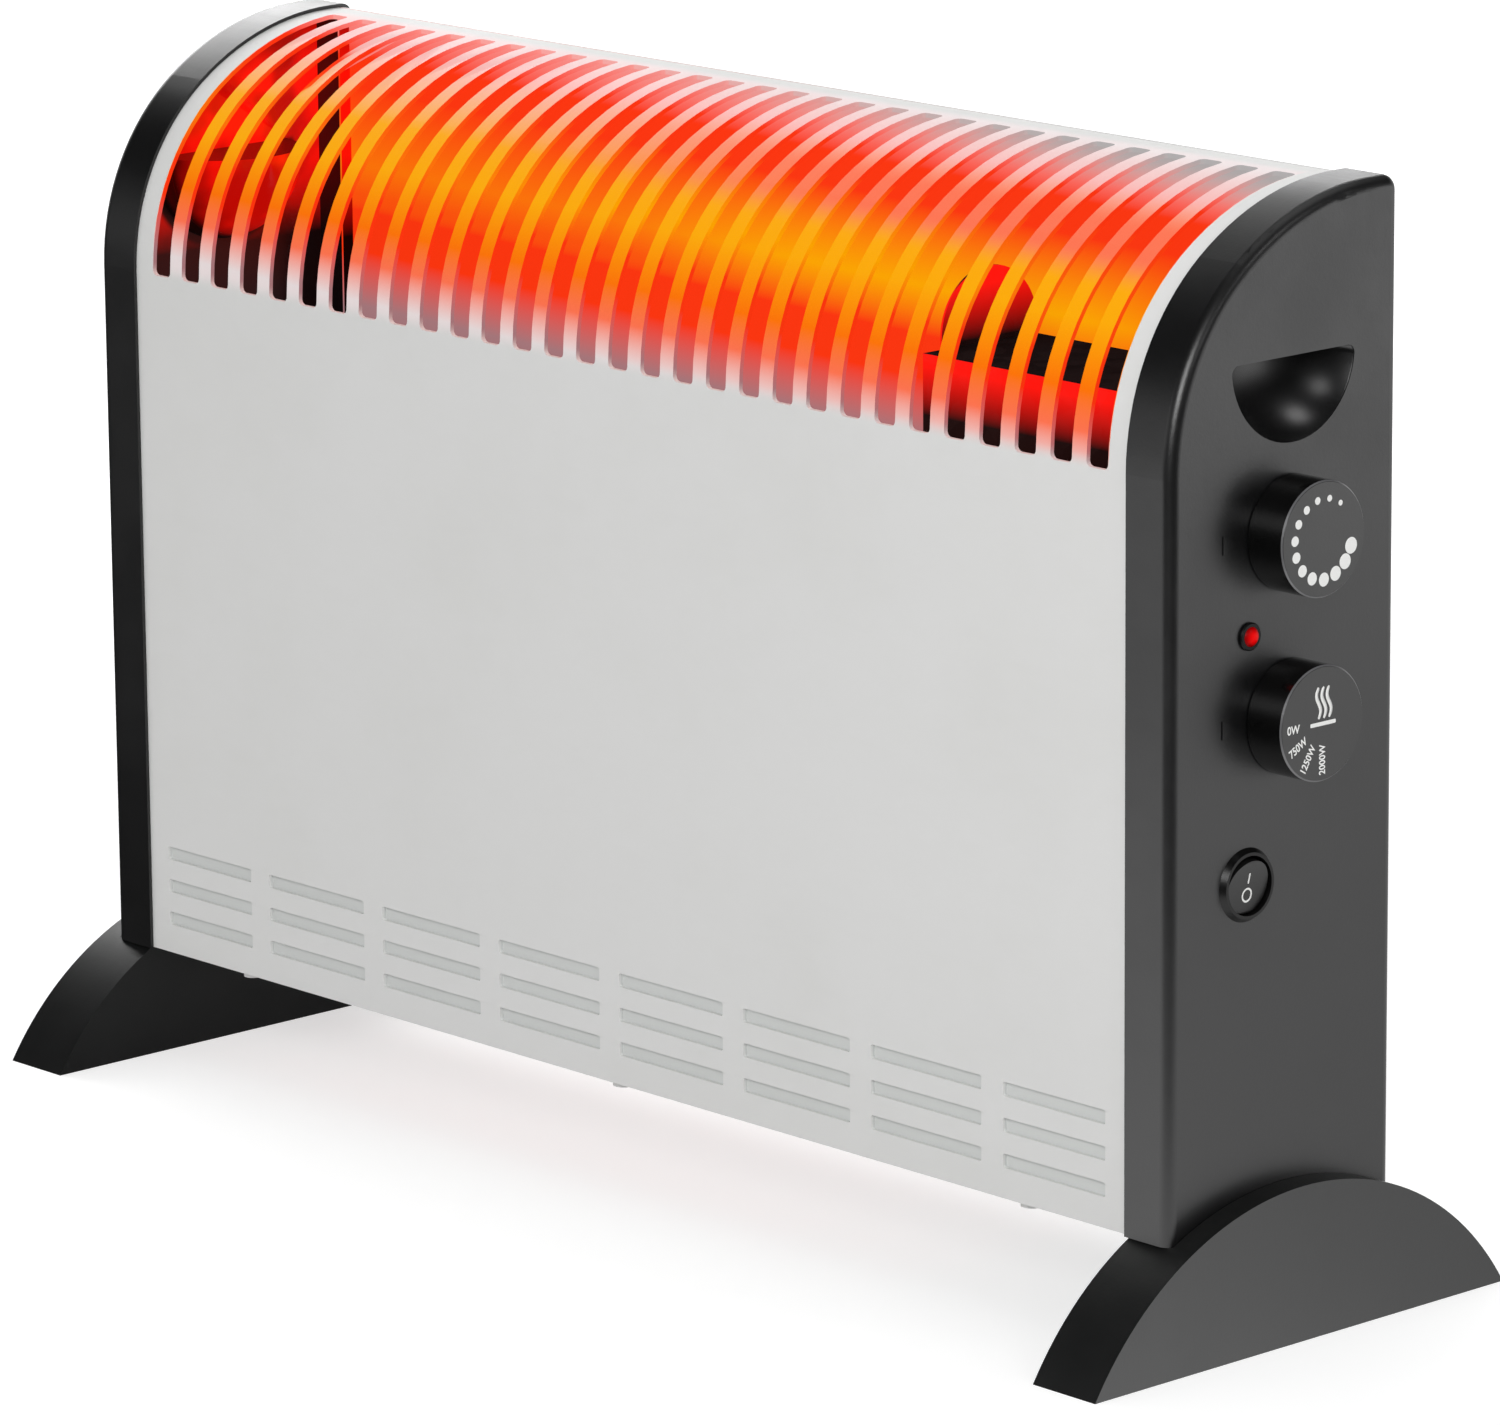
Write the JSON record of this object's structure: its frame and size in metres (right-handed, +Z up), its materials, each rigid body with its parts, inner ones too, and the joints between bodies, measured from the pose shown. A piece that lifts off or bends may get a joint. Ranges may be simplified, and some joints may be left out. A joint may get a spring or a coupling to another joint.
{
  "type": "electric convector heater",
  "caption": "Low free-standing convector heater: white slotted steel casing between dark end caps with arched feet, grip recesses, dials, a rocker and a lamp.",
  "frame": {"origin": "on the floor, midway between the two feet and at the middle of their length", "axes": "+X along the heater towards the end with the controls, +Y from front to back, +Z up"},
  "size_m": [0.5644, 0.19, 0.3754],
  "materials": {
    "white_sheet": "satin powder coat",
    "black_moulding": "fine satin texture",
    "knob_moulding": "satin with a bright moulded rim",
    "rocker_moulding": "semi gloss",
    "red_lens": "clear red, glossy",
    "neon_glass": "clear",
    "screw_steel": "zinc plated",
    "spindle_steel": "turned",
    "brass": "plain",
    "control_body": "moulded phenolic",
    "terminal_moulding": "plain",
    "coated_steel": "zinc coated, dulled by heat",
    "element_fins": "extruded",
    "rod_steel": "heat tinted",
    "ceramic_white": "unglazed ceramic look",
    "black_rubber": "matte",
    "lead_sleeve": "braided sleeve look"
  },
  "bodies": {
    "heater": {"blade_terminals": "brass", "bottom_grille": "white_sheet", "bottom_screws": "screw_steel", "bracket_screws": "screw_steel", "bush_nuts": "brass", "cable_inlet_bush": "black_rubber", "cutout_bracket": "coated_steel", "element_insulators": "ceramic_white", "foot_screws": "screw_steel", "front_casing": "white_sheet", "heat_shield": "coated_steel", "heating_element_lower": "element_fins", "heating_element_upper": "element_fins", "heating_rod_lower": "rod_steel", "heating_rod_upper": "rod_steel", "inner_leads": "lead_sleeve", "lamp_housing": "rocker_moulding", "lamp_lens": "red_lens", "left_element_bracket": "coated_steel", "left_end_cap": "black_moulding", "left_foot": "black_moulding", "neon_bulb": "neon_glass", "power_switch_body": "control_body", "rear_panel": "white_sheet", "rear_panel_screws": "screw_steel", "right_element_bracket": "coated_steel", "right_end_cap": "black_moulding", "right_foot": "black_moulding", "rocker_housing": "rocker_moulding", "shield_screws": "screw_steel", "terminal_block": "terminal_moulding", "terminal_screws": "brass", "thermal_cutout": "control_body", "thermostat_body": "control_body", "tilt_switch": "control_body"},
    "thermostat_dial": {"thermostat_knob": "knob_moulding", "thermostat_shaft": "spindle_steel"},
    "power_dial": {"power_knob": "knob_moulding", "power_shaft": "spindle_steel"},
    "rocker": {"rocker_button": "rocker_moulding"}
  },
  "joints": [
    {"name": "thermostat_turn", "type": "hinge", "parent": "heater", "child": "thermostat_dial", "pos_m": [0.2698, 0.00065, 0.2663], "axis": [1, 0, 0], "range_deg": [-162, 126]},
    {"name": "power_turn", "type": "hinge", "parent": "heater", "child": "power_dial", "pos_m": [0.2698, 0.00065, 0.2064], "axis": [1, 0, 0], "range_deg": [-90, 0]},
    {"name": "rocker_press", "type": "hinge", "parent": "heater", "child": "rocker", "pos_m": [0.2683, -0.01805, 0.154], "axis": [0, -1, 0], "range_deg": [0, 20]}
  ]
}
